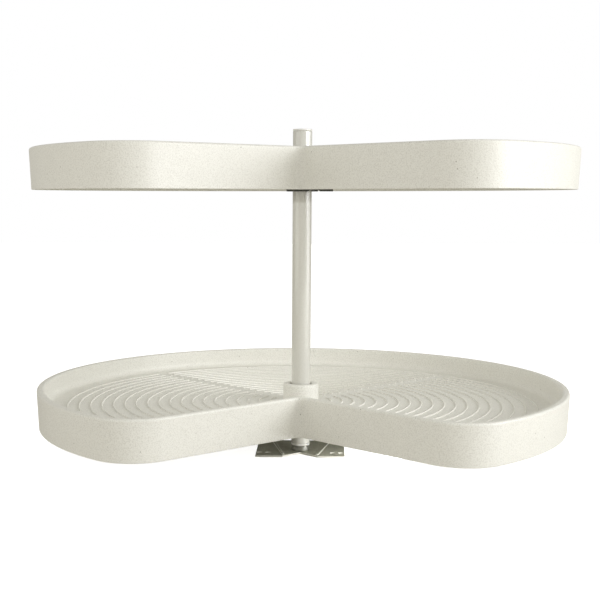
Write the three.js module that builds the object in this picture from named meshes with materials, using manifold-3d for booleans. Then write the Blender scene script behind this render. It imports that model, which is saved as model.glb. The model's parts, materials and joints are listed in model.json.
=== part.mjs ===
// A two-shelf kidney lazy susan for a corner cupboard: two moulded shelves clamped to one pole,
// which turns on a pivot screwed to the cupboard's floor.
// Millimetres, +Z up. The origin is on the pole's axis, at the underside of the base bracket.
// The cupboard's back corner lies towards +Y, and the shelves' notch opens towards -Y.

import * as THREE from 'three';
import { mergeVertices } from 'three/addons/utils/BufferGeometryUtils.js';
import Module from 'manifold-3d';

const wasm = await Module();
wasm.setup();

// ---- Driving dimensions -------------------------------------------------------------------

const GAP = 0.3; // between pieces that touch
const CUT = 1; // how far a cutting solid runs past the face that it cuts

// Shelf outline, measured at the rim's top edge
const SHELF_RADIUS = 355.6; // a 28 inch shelf
const NOTCH_HALF_ANGLE = THREE.MathUtils.degToRad(47); // between each notch wall and -Y
const NOTCH_DEPTH = 126; // from the pole's axis to where the two walls would meet
const NOTCH_ROUND = 10; // where the two walls meet
const TIP_ROUND = 60; // at the front of each lobe

// Shelf section, heights from the skirt's lower edge
const SKIRT_HEIGHT = 52;
const DRAFT = 1.8; // how much the skirt leans in from its top to its lower edge
const WALL = 3;
const RIM_WIDTH = 10; // the double wall, seen from above
const RIM_ROUND = 3;
const FLOOR_TOP = 25;
const COVE = 8; // between the inner wall and the floor

// Under the shelf's floor
const RIB_THICKNESS = 2.6;
const RIB_DEPTH = 4;
const RIB_STEP = THREE.MathUtils.degToRad(30);
const RIB_COUNT = 9;
const RING_RIB_RADIUS = 180;

// Hub in the shelf's middle, heights from the skirt's lower edge
const HUB_RADIUS = 24;
const HUB_BOTTOM = 8;
const HUB_TOP = 50;
const HUB_BORE = 15.4;
const HUB_ROUND = 2.5;
const HUB_RECESS = 8; // the sleeve stops this far below the hub's top
const SLEEVE_WALL = 2;
const HUB_SCREW_CIRCLE = 18.2;
const HUB_SCREW_ANGLES = [60, 180, 300].map(THREE.MathUtils.degToRad);
const HUB_SCREW_LENGTH = 19;
const HUB_SCREW_RADIUS = 1.45;
const HUB_SCREW_HEAD_RADIUS = 2.6;
const HUB_SCREW_HEAD_HEIGHT = 2;
const HUB_SCREW_SLOT = 0.8;

// Collar that clamps the hub to the pole
const COLLAR_RADIUS = 21;
const COLLAR_BOTTOM = -2;
const THUMB_SCREW_HEIGHT = 2.75; // of its axis
const THUMB_SCREW_RADIUS = 3;
const THUMB_HEAD_RADIUS = 4.7;
const THUMB_HEAD_START = 23;
const THUMB_HEAD_END = 41;
const THUMB_FLUTES = 10;
const THUMB_FLUTE_RADIUS = 0.9;

// Pole
const POLE_RADIUS = 12.7; // a 1 inch tube
const TUBE_WALL = 1.2;
const POLE_TOP = 435;
const POLE_BOTTOM = 10.5;
const FLANGE = 2.5; // of the bushes at the pole's two ends
const FOOT_BUSH_LENGTH = 32;
const TOP_BUSH_LENGTH = 7;

// Inner tube, pushed right down into the pole
const INNER_RADIUS = 9.5; // a 3/4 inch tube
const INNER_LENGTH = 300;
const TOP_PLUG_LENGTH = 26;
const TOP_PLUG_BORE = 3.2;
const TOP_PLUG_BORE_DEPTH = 20;
const GUIDE_SHANK = 16;

// Screw that locks the inner tube, at the back of the pole
const LOCK_BELOW_TOP = 17;
const LOCK_NUT_RADIUS = 4;
const LOCK_FLANGE_RADIUS = 5.5;
const LOCK_FLANGE_THICKNESS = 1.2;
const LOCK_SCREW_RADIUS = 2.4;
const LOCK_SCREW_END = 16.5;
const LOCK_SOCKET_RADIUS = 1.4; // across the hexagon's corners
const LOCK_SOCKET_DEPTH = 2.5;

// Base bracket and pivot
const PLATE_THICKNESS = 2.5;
const PLATE_HALF_WIDTH = 60.5;
const PLATE_FRONT = -38;
const PLATE_BACK = 62;
const PLATE_CORNER = 9;
const PLATE_NOTCH_HALF_WIDTH = 23.5;
const PLATE_NOTCH_APEX = -16;
const BEAD_FRONT = [23, -30];
const BEAD_BACK = [40, 56];
const BEAD_WIDTH = 4;
const BEAD_HEIGHT = 1.3;
const SCREW_HOLES = [[44.5, -18], [55.5, -18], [50, 45]];
const SCREW_HOLE_RADIUS = 2.3;
const CUP_RADIUS = 12.5;
const PIN_RADIUS = 8;
const PIN_TOP = 42;
const WASHER_THICKNESS = 1.2;

// Height of each shelf's lower edge
const LOWER_SHELF = 46;
const UPPER_SHELF = 356;

// Facets around a full turn
const FINE = 24;
const COARSE = 12;

// ---- Materials ----------------------------------------------------------------------------

function material(color, roughness, metalness) {
  return new THREE.MeshStandardMaterial({ color, roughness, metalness });
}

const shelfPlastic = material(0xe6e4da, 0.5, 0);
const polePaint = material(0xe4e2da, 0.35, 0);
const nylon = material(0xf1f0ea, 0.45, 0);
const plateSteel = material(0x6d6e69, 0.45, 0.8);
const brightSteel = material(0xa9aaa6, 0.35, 0.9);
const collarZinc = material(0x55554f, 0.5, 0.7);

// ---- Solids -------------------------------------------------------------------------------

function toSolid(geometry) {
  const bare = geometry.clone();
  bare.deleteAttribute('normal');
  bare.deleteAttribute('uv');
  const merged = mergeVertices(bare, 1e-4);
  const vertProperties = new Float32Array(merged.attributes.position.array);
  const triVerts = new Uint32Array(merged.index.array);
  return new wasm.Manifold(new wasm.Mesh({ numProp: 3, vertProperties, triVerts }));
}

function toGeometry(solid) {
  const mesh = solid.getMesh();
  const geometry = new THREE.BufferGeometry();
  geometry.setAttribute('position', new THREE.BufferAttribute(mesh.vertProperties, 3));
  geometry.setIndex(new THREE.BufferAttribute(mesh.triVerts, 1));
  geometry.computeVertexNormals();
  return geometry;
}

// A solid turned about Z. The profile is a list of [radius, z], up the outside and down the inside.
function turned(profile, facets = FINE) {
  const points = profile.map(([radius, z]) => new THREE.Vector2(radius, z));
  return toSolid(new THREE.LatheGeometry(points, facets).rotateX(Math.PI / 2));
}

function rod(radius, bottom, top, facets = FINE) {
  return turned([[0, bottom], [radius, bottom], [radius, top], [0, top]], facets);
}

function tube(outer, inner, bottom, top, facets = FINE) {
  return turned([[outer, bottom], [outer, top], [inner, top], [inner, bottom], [outer, bottom]], facets);
}

function extruded(points, bottom, top) {
  const shape = new THREE.Shape(points.map(([x, y]) => new THREE.Vector2(x, y)));
  const geometry = new THREE.ExtrudeGeometry(shape, { depth: top - bottom, bevelEnabled: false });
  return toSolid(geometry.translate(0, 0, bottom));
}

const joined = (solids) => solids.reduce((whole, solid) => whole.add(solid));
const onCircle = (radius, angle) => [radius * Math.cos(angle), radius * Math.sin(angle), 0];

// ---- Shelf outline ------------------------------------------------------------------------

// Points on an arc, both ends included.
function arc([x, y], radius, from, to, steps) {
  const points = [];
  for (let step = 0; step <= steps; step += 1) {
    const angle = from + ((to - from) * step) / steps;
    points.push([x + radius * Math.cos(angle), y + radius * Math.sin(angle)]);
  }
  return points;
}

// Centre of the right lobe's tip round, which touches both the notch wall and the outer circle.
function tipCentre() {
  const along = [Math.sin(NOTCH_HALF_ANGLE), -Math.cos(NOTCH_HALF_ANGLE)];
  const inwards = [Math.cos(NOTCH_HALF_ANGLE), Math.sin(NOTCH_HALF_ANGLE)];
  const start = [TIP_ROUND * inwards[0], -NOTCH_DEPTH + TIP_ROUND * inwards[1]];
  const slope = start[0] * along[0] + start[1] * along[1];
  const reach = start[0] ** 2 + start[1] ** 2 - (SHELF_RADIUS - TIP_ROUND) ** 2;
  const distance = -slope + Math.sqrt(slope ** 2 - reach);
  return [start[0] + distance * along[0], start[1] + distance * along[1]];
}

// The kidney outline, moved inwards by inset, anticlockwise from above. Every inset has the same points.
// Its arcs are split at the outline's furthest points, so that the facets reach the full size.
function kidney(inset) {
  const tip = tipCentre();
  const tipAngle = Math.atan2(tip[1], tip[0]);
  const notchCentre = [0, -NOTCH_DEPTH - NOTCH_ROUND / Math.sin(NOTCH_HALF_ANGLE)];
  const right = [
    ...arc(notchCentre, NOTCH_ROUND + inset, Math.PI / 2, NOTCH_HALF_ANGLE, 3),
    ...arc(tip, TIP_ROUND - inset, NOTCH_HALF_ANGLE - Math.PI, -Math.PI / 2, 4),
    ...arc(tip, TIP_ROUND - inset, -Math.PI / 2, tipAngle, 5).slice(1),
    ...arc([0, 0], SHELF_RADIUS - inset, tipAngle, 0, 8).slice(1),
    ...arc([0, 0], SHELF_RADIUS - inset, 0, Math.PI / 2, 16).slice(1),
  ];
  const left = right.slice(1, -1).map(([x, y]) => [-x, y]);
  return [...right, ...left.reverse()];
}

// A solid bounded by kidney outlines. The profile is a list of [inset, z]: its first outline is capped
// upwards and its last one downwards, and the surface runs from one to the other.
function kidneyLoft(profile) {
  const rings = profile.map(([inset, z]) => kidney(inset).map(([x, y]) => [x, y, z]));
  const count = rings[0].length;
  const cap = (ring) => THREE.ShapeUtils.triangulateShape(ring.map(([x, y]) => new THREE.Vector2(x, y)), []);
  const lastStart = (rings.length - 1) * count;
  const triangles = cap(rings[0]);
  triangles.push(...cap(rings.at(-1)).map(([a, b, c]) => [a + lastStart, c + lastStart, b + lastStart]));
  for (let level = 0; level < rings.length - 1; level += 1) {
    for (let here = 0; here < count; here += 1) {
      const next = (here + 1) % count;
      const [a, b] = [level * count + here, level * count + next];
      triangles.push([a, a + count, b + count], [a, b + count, b]);
    }
  }
  const geometry = new THREE.BufferGeometry();
  geometry.setAttribute('position', new THREE.Float32BufferAttribute(rings.flat(2), 3));
  geometry.setIndex(triangles.flat());
  return toSolid(geometry);
}

// ---- Shelf --------------------------------------------------------------------------------

// The tray: a floor halfway up a drafted skirt, inside a double wall that is open underneath.
function tray() {
  const diagonal = 1 - Math.SQRT1_2;
  const coveTop = FLOOR_TOP + COVE;
  const floorBottom = FLOOR_TOP - WALL;
  return kidneyLoft([
    [RIM_WIDTH + COVE, FLOOR_TOP],
    [RIM_WIDTH + COVE * diagonal, coveTop - COVE * Math.SQRT1_2],
    [RIM_WIDTH, coveTop],
    [RIM_WIDTH, SKIRT_HEIGHT - RIM_ROUND],
    [RIM_WIDTH - RIM_ROUND * diagonal, SKIRT_HEIGHT - RIM_ROUND * diagonal],
    [RIM_WIDTH - RIM_ROUND, SKIRT_HEIGHT],
    [RIM_ROUND, SKIRT_HEIGHT],
    [RIM_ROUND * diagonal, SKIRT_HEIGHT - RIM_ROUND * diagonal],
    [0, SKIRT_HEIGHT - RIM_ROUND],
    [DRAFT, WALL / 3],
    [DRAFT + WALL / 3, 0],
    [DRAFT + WALL, 0],
    [WALL, SKIRT_HEIGHT - WALL],
    [RIM_WIDTH - WALL, SKIRT_HEIGHT - WALL],
    [RIM_WIDTH - WALL, floorBottom],
  ]);
}

// Radial ribs and one ring rib under the floor, trimmed to end inside the skirt's wall.
function underRibs() {
  const top = FLOOR_TOP - WALL / 2;
  const bottom = FLOOR_TOP - WALL - RIB_DEPTH;
  const ribs = [];
  for (let index = 0; index < RIB_COUNT; index += 1) {
    const rib = new THREE.BoxGeometry(SHELF_RADIUS, RIB_THICKNESS, top - bottom);
    rib.translate(HUB_BORE + SHELF_RADIUS / 2, 0, (top + bottom) / 2);
    ribs.push(toSolid(rib.rotateZ((index - 1) * RIB_STEP)));
  }
  const half = RIB_THICKNESS / 2;
  ribs.push(tube(RING_RIB_RADIUS + half, RING_RIB_RADIUS - half, bottom, top));
  const outline = kidney(DRAFT + WALL / 3);
  return joined(ribs).intersect(extruded(outline, bottom - CUT, top + CUT));
}

function hub() {
  return turned([
    [0, HUB_BOTTOM],
    [HUB_RADIUS, HUB_BOTTOM],
    [HUB_RADIUS, HUB_TOP - HUB_ROUND],
    [HUB_RADIUS - HUB_ROUND * (1 - Math.SQRT1_2), HUB_TOP - HUB_ROUND * (1 - Math.SQRT1_2)],
    [HUB_RADIUS - HUB_ROUND, HUB_TOP],
    [0, HUB_TOP],
  ]);
}

function hubScrewHoles(radius, bottom, top) {
  const hole = rod(radius, bottom, top, COARSE);
  return joined(HUB_SCREW_ANGLES.map((angle) => hole.translate(onCircle(HUB_SCREW_CIRCLE, angle))));
}

function shelf() {
  const screwTip = COLLAR_BOTTOM + HUB_SCREW_LENGTH;
  return tray()
    .add(underRibs())
    .add(hub())
    .subtract(rod(HUB_BORE, -CUT, HUB_TOP + CUT))
    .subtract(hubScrewHoles(HUB_SCREW_RADIUS + GAP, HUB_BOTTOM - CUT, screwTip + GAP));
}

// ---- Hub hardware, heights from the skirt's lower edge ------------------------------------

function hubSleeve() {
  const outer = HUB_BORE - GAP;
  return tube(outer, outer - SLEEVE_WALL, HUB_BOTTOM, HUB_TOP - HUB_RECESS);
}

// A solid turned about Z becomes one turned about X, and its heights become distances from the pole's axis.
const alongX = (solid, height) => solid.rotate([0, 90, 0]).translate([0, 0, height]);

function collar() {
  const top = HUB_BOTTOM - GAP;
  const headTop = COLLAR_BOTTOM + HUB_SCREW_HEAD_HEIGHT;
  const screwBore = rod(THUMB_SCREW_RADIUS + GAP, 0, COLLAR_RADIUS + CUT, COARSE);
  return tube(COLLAR_RADIUS, POLE_RADIUS + GAP, COLLAR_BOTTOM, top)
    .subtract(alongX(screwBore, THUMB_SCREW_HEIGHT))
    .subtract(hubScrewHoles(HUB_SCREW_RADIUS + GAP, COLLAR_BOTTOM - CUT, top + CUT))
    .subtract(hubScrewHoles(HUB_SCREW_HEAD_RADIUS + GAP, COLLAR_BOTTOM - CUT, headTop + GAP));
}

// The thumb screw's tip presses on the pole, and its grip has flutes.
function collarScrew() {
  const grip = rod(THUMB_HEAD_RADIUS, THUMB_HEAD_START, THUMB_HEAD_END, FINE);
  const flute = rod(THUMB_FLUTE_RADIUS, THUMB_HEAD_START + CUT * 2, THUMB_HEAD_END + CUT, 8);
  const cuts = [];
  for (let index = 0; index < THUMB_FLUTES; index += 1) {
    const angle = (index / THUMB_FLUTES) * 2 * Math.PI;
    cuts.push(flute.translate(onCircle(THUMB_HEAD_RADIUS + THUMB_FLUTE_RADIUS / 3, angle)));
  }
  const shank = rod(THUMB_SCREW_RADIUS, POLE_RADIUS + GAP, THUMB_HEAD_START + CUT, COARSE);
  return alongX(grip.subtract(joined(cuts)).add(shank), THUMB_SCREW_HEIGHT);
}

function hubScrew() {
  const tip = COLLAR_BOTTOM + HUB_SCREW_LENGTH;
  const headTop = COLLAR_BOTTOM + HUB_SCREW_HEAD_HEIGHT;
  const slot = new THREE.BoxGeometry(HUB_SCREW_HEAD_RADIUS * 3, HUB_SCREW_SLOT, HUB_SCREW_HEAD_HEIGHT);
  slot.translate(0, 0, COLLAR_BOTTOM);
  return turned([
    [0, COLLAR_BOTTOM],
    [HUB_SCREW_HEAD_RADIUS, COLLAR_BOTTOM],
    [HUB_SCREW_HEAD_RADIUS, headTop],
    [HUB_SCREW_RADIUS, headTop],
    [HUB_SCREW_RADIUS, tip - HUB_SCREW_RADIUS],
    [0, tip],
  ], COARSE).subtract(toSolid(slot));
}

// ---- Pole ---------------------------------------------------------------------------------

const lockHeight = POLE_TOP - LOCK_BELOW_TOP;
const alongY = (solid, height) => solid.rotate([-90, 0, 0]).translate([0, 0, height]);

function poleTube() {
  const hole = rod(LOCK_NUT_RADIUS + GAP, 0, POLE_RADIUS + CUT, COARSE);
  return tube(POLE_RADIUS, POLE_RADIUS - TUBE_WALL, POLE_BOTTOM + FLANGE + GAP, POLE_TOP - FLANGE - GAP)
    .subtract(alongY(hole, lockHeight));
}

// A flanged bush at one end of the pole: direction is 1 where its sleeve points up, -1 where it points down.
function poleBush(flangeEnd, direction, bore, sleeveLength) {
  const sleeveRadius = POLE_RADIUS - TUBE_WALL - GAP;
  const shoulder = flangeEnd + direction * FLANGE;
  const sleeveEnd = shoulder + direction * sleeveLength;
  const profile = [
    [POLE_RADIUS, flangeEnd],
    [POLE_RADIUS, shoulder],
    [sleeveRadius, shoulder],
    [sleeveRadius, sleeveEnd],
    [bore, sleeveEnd],
    [bore, flangeEnd],
    [POLE_RADIUS, flangeEnd],
  ];
  return turned(direction > 0 ? profile : profile.reverse());
}

function lockNut() {
  const flangeStart = POLE_RADIUS + GAP;
  const bore = LOCK_SCREW_RADIUS + GAP;
  const body = tube(LOCK_NUT_RADIUS, bore, INNER_RADIUS + GAP * 2, flangeStart + CUT / 2, COARSE);
  const flange = tube(LOCK_FLANGE_RADIUS, bore, flangeStart, flangeStart + LOCK_FLANGE_THICKNESS, COARSE);
  return alongY(body.add(flange), lockHeight);
}

function lockScrew() {
  const socket = rod(LOCK_SOCKET_RADIUS, LOCK_SCREW_END - LOCK_SOCKET_DEPTH, LOCK_SCREW_END + CUT, 6);
  const screw = rod(LOCK_SCREW_RADIUS, INNER_RADIUS + GAP, LOCK_SCREW_END, COARSE);
  return alongY(screw.subtract(socket), lockHeight);
}

// ---- Inner tube ---------------------------------------------------------------------------

const innerBottom = POLE_TOP - INNER_LENGTH;
const innerBore = INNER_RADIUS - TUBE_WALL;

function guidePlug() {
  const radius = POLE_RADIUS - TUBE_WALL - GAP;
  const shoulder = innerBottom - GAP;
  const top = shoulder + GUIDE_SHANK;
  const bottom = shoulder - FLANGE;
  const shank = innerBore - GAP;
  return turned([
    [0, bottom],
    [radius, bottom],
    [radius, shoulder],
    [shank, shoulder],
    [shank, top],
    [0, top],
  ]);
}

function topPlug() {
  const radius = innerBore - GAP;
  const bore = rod(TOP_PLUG_BORE, POLE_TOP - TOP_PLUG_BORE_DEPTH, POLE_TOP + CUT, COARSE);
  return rod(radius, POLE_TOP - TOP_PLUG_LENGTH, POLE_TOP).subtract(bore);
}

// ---- Base ---------------------------------------------------------------------------------

const bothSides = (points) => [...points, ...points.map(([x, y]) => [-x, y])];

// A pressed bead from one point to another, standing on the plate with sloping sides.
function bead([startX, startY], [endX, endY]) {
  const length = Math.hypot(endX - startX, endY - startY);
  const heading = THREE.MathUtils.radToDeg(Math.atan2(endY - startY, endX - startX));
  const foot = BEAD_WIDTH / 2;
  const crest = BEAD_WIDTH / 6;
  const section = [
    [-foot, -CUT],
    [foot, -CUT],
    [foot, 0],
    [crest, BEAD_HEIGHT],
    [-crest, BEAD_HEIGHT],
    [-foot, 0],
  ];
  return extruded(section, 0, length)
    .rotate([90, 0, 0])
    .rotate([0, 0, heading + 90])
    .translate([startX, startY, PLATE_THICKNESS]);
}

function baseBracket() {
  const outline = [
    [-PLATE_HALF_WIDTH, PLATE_FRONT],
    [-PLATE_NOTCH_HALF_WIDTH, PLATE_FRONT],
    [0, PLATE_NOTCH_APEX],
    [PLATE_NOTCH_HALF_WIDTH, PLATE_FRONT],
    [PLATE_HALF_WIDTH, PLATE_FRONT],
    [PLATE_HALF_WIDTH, PLATE_BACK - PLATE_CORNER],
    [PLATE_HALF_WIDTH - PLATE_CORNER, PLATE_BACK],
    [PLATE_CORNER - PLATE_HALF_WIDTH, PLATE_BACK],
    [-PLATE_HALF_WIDTH, PLATE_BACK - PLATE_CORNER],
  ];
  const [frontX, frontY] = BEAD_FRONT;
  const [backX, backY] = BEAD_BACK;
  const beads = [bead([frontX, frontY], [backX, backY]), bead([-frontX, frontY], [-backX, backY])];
  const hole = rod(SCREW_HOLE_RADIUS, -CUT, PLATE_THICKNESS + CUT, COARSE);
  const holes = bothSides(SCREW_HOLES).map(([x, y]) => hole.translate([x, y, 0]));
  return extruded(outline, 0, PLATE_THICKNESS).add(joined(beads)).subtract(joined(holes));
}

// ---- Assembly -----------------------------------------------------------------------------

const assembly = new THREE.Group();

function addPiece(parent, name, solid, look) {
  const piece = new THREE.Mesh(toGeometry(solid), look);
  piece.name = name;
  parent.add(piece);
}

function addBase() {
  const washerBottom = POLE_BOTTOM - GAP - WASHER_THICKNESS;
  const cup = tube(CUP_RADIUS, PIN_RADIUS + GAP, PLATE_THICKNESS + GAP, washerBottom - GAP);
  const pin = turned([
    [0, PLATE_THICKNESS + GAP],
    [PIN_RADIUS, PLATE_THICKNESS + GAP],
    [PIN_RADIUS, PIN_TOP - 2],
    [PIN_RADIUS - 2, PIN_TOP],
    [0, PIN_TOP],
  ]);
  const washer = tube(CUP_RADIUS, PIN_RADIUS + GAP, washerBottom, POLE_BOTTOM - GAP);
  addPiece(assembly, 'base_bracket', baseBracket(), plateSteel);
  addPiece(assembly, 'pivot_cup', cup, brightSteel);
  addPiece(assembly, 'pivot_pin', pin, brightSteel);
  addPiece(assembly, 'thrust_washer', washer, brightSteel);
}

function addPole() {
  const innerTube = tube(INNER_RADIUS, innerBore, innerBottom, POLE_TOP);
  addPiece(assembly, 'pole_tube', poleTube(), polePaint);
  addPiece(assembly, 'foot_bush', poleBush(POLE_BOTTOM, 1, PIN_RADIUS + GAP, FOOT_BUSH_LENGTH), nylon);
  addPiece(assembly, 'top_bush', poleBush(POLE_TOP, -1, INNER_RADIUS + GAP, TOP_BUSH_LENGTH), nylon);
  addPiece(assembly, 'lock_nut', lockNut(), brightSteel);
  addPiece(assembly, 'lock_screw', lockScrew(), collarZinc);
  addPiece(assembly, 'inner_tube', innerTube, brightSteel);
  addPiece(assembly, 'guide_plug', guidePlug(), nylon);
  addPiece(assembly, 'top_plug', topPlug(), nylon);
}

function addShelf(name, height) {
  const group = new THREE.Group();
  group.position.z = height;
  addPiece(group, `${name}_shelf`, shelf(), shelfPlastic);
  addPiece(group, `${name}_hub_sleeve`, hubSleeve(), nylon);
  addPiece(group, `${name}_collar`, collar(), collarZinc);
  addPiece(group, `${name}_collar_screw`, collarScrew(), collarZinc);
  HUB_SCREW_ANGLES.forEach((angle, index) => {
    const screw = hubScrew().translate(onCircle(HUB_SCREW_CIRCLE, angle));
    addPiece(group, `${name}_hub_screw_${index + 1}`, screw, brightSteel);
  });
  assembly.add(group);
}

addBase();
addPole();
addShelf('lower', LOWER_SHELF);
addShelf('upper', UPPER_SHELF);

export default assembly;
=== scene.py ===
"""The looks of a two-shelf kidney lazy susan, built round its CAD frame. Metres, +Z up."""

import json
import math

import bmesh
import bpy
from mathutils import Matrix, Vector
from mathutils.geometry import tessellate_polygon


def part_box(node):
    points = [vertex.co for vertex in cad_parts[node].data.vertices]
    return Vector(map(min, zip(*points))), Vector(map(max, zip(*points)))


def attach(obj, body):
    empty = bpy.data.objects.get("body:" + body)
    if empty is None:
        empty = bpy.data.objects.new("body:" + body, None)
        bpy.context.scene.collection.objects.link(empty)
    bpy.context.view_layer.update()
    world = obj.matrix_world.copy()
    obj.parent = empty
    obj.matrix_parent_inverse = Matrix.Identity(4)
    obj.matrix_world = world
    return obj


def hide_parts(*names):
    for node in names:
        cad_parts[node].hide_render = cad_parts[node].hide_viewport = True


MM = 0.001

# ---- Shelf moulding -----------------------------------------------------------------------

NOTCH_HALF_ANGLE = math.radians(47)
NOTCH_DEPTH = 126 * MM
NOTCH_ROUND = 10 * MM
TIP_ROUND = 60 * MM

DRAFT = 1.8 * MM
WALL = 3 * MM
RIM_WIDTH = 10 * MM
RIM_ROUND = 3 * MM
FLOOR_TOP = 25 * MM
COVE = 8 * MM

HUB_RADIUS = 24 * MM
HUB_BOTTOM = 8 * MM
HUB_TOP = 50 * MM
HUB_BORE = 15.4 * MM
HUB_ROUND = 2.5 * MM
HUB_FILLET = 2 * MM

UNDER_RIB_THICKNESS = 2.6 * MM
UNDER_RIB_DEPTH = 4 * MM
UNDER_RIB_ANGLES = [math.radians(30 * index - 30) for index in range(9)]
UNDER_RING_RADIUS = 180 * MM

# Raised arcs on the floor, in three sectors with a smooth strip between them
GRIP_FIRST_RADIUS = 41.8 * MM
GRIP_PITCH = 15.24 * MM
GRIP_COUNT = 19
GRIP_WIDTH = 1.8 * MM
GRIP_HEIGHT = 1.5 * MM
GRIP_STRIP_ANGLE = math.radians(46)
GRIP_STRIP_HALF_WIDTH = 8 * MM
GRIP_EDGE = 20 * MM  # from the rim's outer edge to where the arcs stop
ARC_STEP = 3 * MM

# ---- Hub hardware --------------------------------------------------------------------------

HUB_SCREW_CIRCLE = 18.2 * MM
HUB_SCREW_ANGLES = [math.radians(angle) for angle in (60, 180, 300)]
HUB_SCREW_HEAD_HEIGHT = 2 * MM
HUB_SCREW_THREAD_RADIUS = 1.45 * MM
HUB_SLEEVE_WALL = 2 * MM
COLLAR_HOLE_GAP = 0.3 * MM
COLLAR_POCKET_DEPTH = 2.3 * MM
COLLAR_CLEARANCE_RADIUS = 1.75 * MM
THUMB_HEAD_LENGTH = 18 * MM
THUMB_NECK_RADIUS = 3.6 * MM
THUMB_THREAD_RADIUS = 3 * MM
THUMB_FLUTES = 10
THUMB_FLUTE_DEPTH = 0.7 * MM
SCREW_SLOT_WIDTH = 0.8 * MM
SCREW_SLOT_DEPTH = 1.0 * MM
CUT_OVERLAP = 1 * MM  # how far a cutter runs past the face it opens

# ---- Pole and base -------------------------------------------------------------------------

TUBE_WALL = 1.2 * MM
POLE_EDGE_ROUND = 0.55 * MM
BUSH_FLANGE = 2.5 * MM
BUSH_STEP = 1.5 * MM  # from the flange's radius to the sleeve's
FOOT_BUSH_BORE = 8.3 * MM
TOP_BUSH_BORE = 9.8 * MM
GUIDE_FLANGE = 2.5 * MM
GUIDE_GAP = 0.3 * MM
STUD_BORE_RADIUS = 3.2 * MM
STUD_BORE_DEPTH = 20 * MM
LOCK_HOLE_RADIUS = 4.3 * MM
LOCK_FLANGE_THICKNESS = 1.2 * MM
LOCK_NUT_RADIUS = 4 * MM
LOCK_NUT_BORE = 2.7 * MM
LOCK_SCREW_RADIUS = 2.4 * MM
SOCKET_RADIUS = 1.4 * MM
SOCKET_DEPTH = 2.5 * MM
PIN_GAP = 0.3 * MM

PLATE_CORNER = 9 * MM
PLATE_FRONT_ROUND = 1.5 * MM
PLATE_REAR_ROUND = 3 * MM
PLATE_EDGE_ROUND = 0.35 * MM
PLATE_NOTCH_HALF_WIDTH = 23.5 * MM
PLATE_NOTCH_APEX = -16 * MM
PLATE_THICKNESS = 2.5 * MM
BEAD_FRONT = (23 * MM, -30 * MM)
BEAD_BACK = (40 * MM, 56 * MM)
BEAD_WIDTH = 4 * MM
SCREW_HOLES = [(44.5 * MM, -18 * MM), (55.5 * MM, -18 * MM), (50 * MM, 45 * MM)]
SCREW_HOLE_RADIUS = 2.3 * MM
COUNTERSINK = 1.6 * MM

# ---- Camera and studio ---------------------------------------------------------------------

CAMERA_PLACE = (0.0275, -1.545, 0.3473)
CAMERA_PAN = math.radians(-3.35)
CAMERA_PITCH = math.radians(9.6)
CAMERA_LENS = 68.6
CAMERA_SHIFT = (0.075, 0.15)
CAMERA_SENSOR = 36

LIGHT_TARGET = Vector((0, 0, 0.2))
LIGHT_DISTANCE = 2.4
COOL = (0.99, 1, 1.02)
WARM = (1, 0.985, 0.95)
FLOOR_BOUNCE = (0.69, 0.67, 0.61)
FLOOR_GLOW = 0.85
FLOOR_SIZE = 14
ROOM_FILL = (1, 0.98, 0.91)
ROOM_FILL_STRENGTH = 0.49

# Azimuth and elevation in degrees, (width, height) in metres, power in watts, colour
RING_LIGHTS = {
    "key_light": (26, 15, (1.6, 1.0), 33, COOL),
    "highlight": (4, 12, (1.9, 1.6), 20, COOL),
    "front_light": (90, 15, (2.4, 1.2), 4.4, WARM),
    "left_light": (150, 12, (2.4, 1.6), 11.5, WARM),
}
REFLECTED_ONLY = ("highlight",)
# Place, target, (width, height), power, colour
CLOSE_LIGHTS = {
    "under_light": ((0, 0.05, 0.34), (0, 0.05, 0), (0.5, 0.4), 0.22, COOL),
    "foot_light": ((0.12, -0.07, 0.02), (0, 0, 0.012), (0.08, 0.02), 0.11, COOL),
}

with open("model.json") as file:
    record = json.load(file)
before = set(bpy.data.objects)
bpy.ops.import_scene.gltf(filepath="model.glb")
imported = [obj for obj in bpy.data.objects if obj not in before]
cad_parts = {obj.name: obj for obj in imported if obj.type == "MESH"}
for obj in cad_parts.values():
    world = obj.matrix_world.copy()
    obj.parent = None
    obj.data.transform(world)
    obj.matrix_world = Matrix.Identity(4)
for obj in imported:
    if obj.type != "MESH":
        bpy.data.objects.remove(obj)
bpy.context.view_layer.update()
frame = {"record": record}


# ---- Meshes --------------------------------------------------------------------------------


def rounded(corners, closed=False, steps=5):
    """The points of an outline of (x, y, radius) corners, with an arc at each one that has a radius."""
    points = []
    for index, (x, y, radius) in enumerate(corners):
        here = Vector((x, y))
        end = not closed and index in (0, len(corners) - 1)
        if radius == 0 or end:
            points.append(here)
            continue
        back = (Vector(corners[index - 1][:2]) - here).normalized()
        ahead = (Vector(corners[(index + 1) % len(corners)][:2]) - here).normalized()
        half = back.angle(ahead) / 2
        centre = here + (back + ahead).normalized() * (radius / math.sin(half))
        start = here + back * (radius / math.tan(half)) - centre
        stop = here + ahead * (radius / math.tan(half)) - centre
        turn = math.atan2(start.cross(stop), start.dot(stop))
        for step in range(steps + 1):
            points.append(centre + Matrix.Rotation(turn * step / steps, 2) @ start)
    return points


def circle(radius, segments):
    turns = [2 * math.pi * step / segments for step in range(segments)]
    return [(radius * math.cos(turn), radius * math.sin(turn)) for turn in turns]


def ring_faces(first, second, count):
    """Quads between two closed rings of count vertices."""
    return [
        (first + here, first + (here + 1) % count, second + (here + 1) % count, second + here)
        for here in range(count)
    ]


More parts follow.
